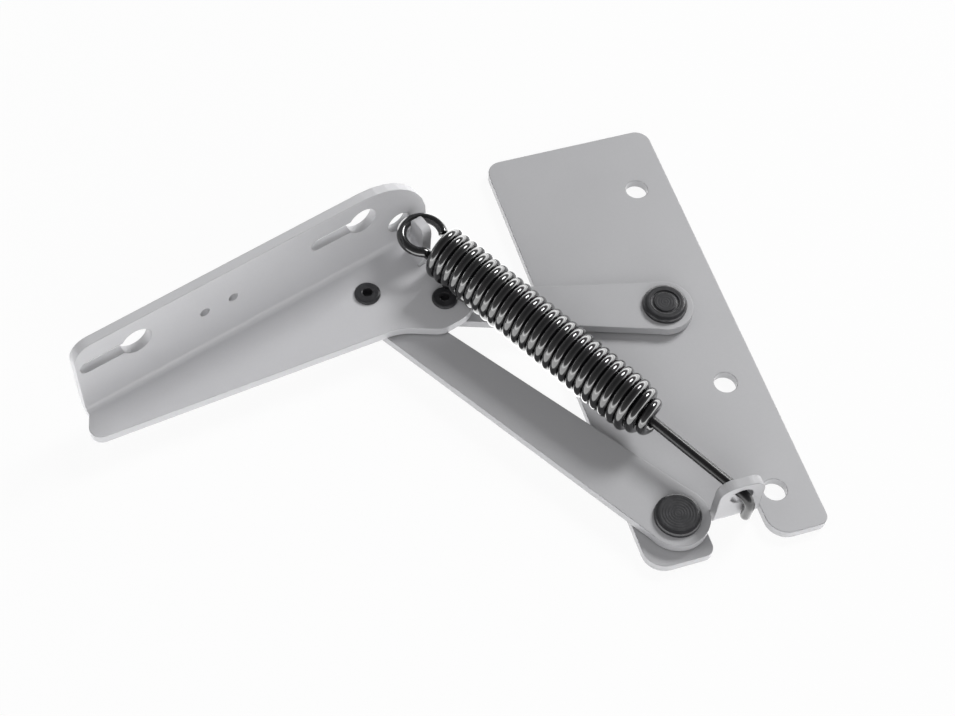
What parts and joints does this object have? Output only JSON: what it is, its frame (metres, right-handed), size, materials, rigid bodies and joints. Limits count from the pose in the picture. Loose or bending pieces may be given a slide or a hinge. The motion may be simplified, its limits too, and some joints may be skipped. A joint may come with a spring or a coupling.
{
  "type": "flap hinge",
  "caption": "Steel flap hinge: screw-on frame plate and folded flap bracket with keyholes, joined by two flat links and pulled open by a long tension spring.",
  "frame": {"origin": "middle of the frame plate's screw row, on its mounting face", "axes": "+Z out of the mounting face towards the links and spring, +Y along the plate's length towards its top, +X towards the screw row's edge; drawn open"},
  "size_m": [0.1648, 0.127, 0.033],
  "materials": {
    "plate_steel": "satin light grey coat on pressed steel sheet",
    "rivet_steel": "dark oxidised steel",
    "spring_steel": "glossy black spring wire"
  },
  "bodies": {
    "frame": {"frame_plate": "plate_steel", "upper_frame_rivet": "rivet_steel", "upper_frame_spacer": "plate_steel", "lower_frame_rivet": "rivet_steel", "lower_frame_washer": "plate_steel"},
    "lower_link": {"lower_link": "plate_steel"},
    "flap": {"flap_bracket": "plate_steel", "lower_flap_rivet": "rivet_steel", "lower_flap_spacer": "plate_steel", "upper_flap_rivet": "rivet_steel", "upper_flap_washer": "plate_steel"},
    "upper_link": {"upper_link": "plate_steel", "upper_flap_rivet_tail": "rivet_steel"},
    "hook_rod": {"hook_rod": "spring_steel"},
    "spring": {"tension_spring": "spring_steel"}
  },
  "joints": [
    {"name": "lower_link_pivot", "type": "hinge", "parent": "frame", "child": "lower_link", "pos_m": [-0.0265, -0.0495, 0.00425], "axis": [0, 0, 1], "range_deg": [-26.9, 0]},
    {"name": "flap_pivot", "type": "hinge", "parent": "lower_link", "child": "flap", "pos_m": [-0.08028, 0.03062, 0.00725], "axis": [0, 0, 1], "range_deg": [0, 98.8], "stiffness_Nm_per_rad": 1.5, "springref_deg": -34.38},
    {"name": "upper_link_pivot", "type": "hinge", "parent": "frame", "child": "upper_link", "pos_m": [-0.0075, 0.0085, 0.00425], "axis": [0, 0, 1], "range_deg": [-54.7, 0]},
    {"name": "rod_swing", "type": "hinge", "parent": "frame", "child": "hook_rod", "pos_m": [-0.012, -0.0505, 0.012], "axis": [0, 0, 1], "range_deg": [-16, 0]},
    {"name": "spring_stretch", "type": "slide", "parent": "hook_rod", "child": "spring", "axis": [-0.499, 0.8652, 0.0485], "range_m": [0, 0.0159], "deforming": ["tension_spring"]}
  ],
  "couplings": [
    {"joint": "lower_link_pivot", "follows": "flap_pivot", "ratio": -0.27151},
    {"joint": "upper_link_pivot", "follows": "flap_pivot", "ratio": -0.55263},
    {"joint": "rod_swing", "follows": "flap_pivot", "ratio": -0.16126},
    {"joint": "spring_stretch", "follows": "flap_pivot", "m_per_rad": 0.0091655}
  ]
}
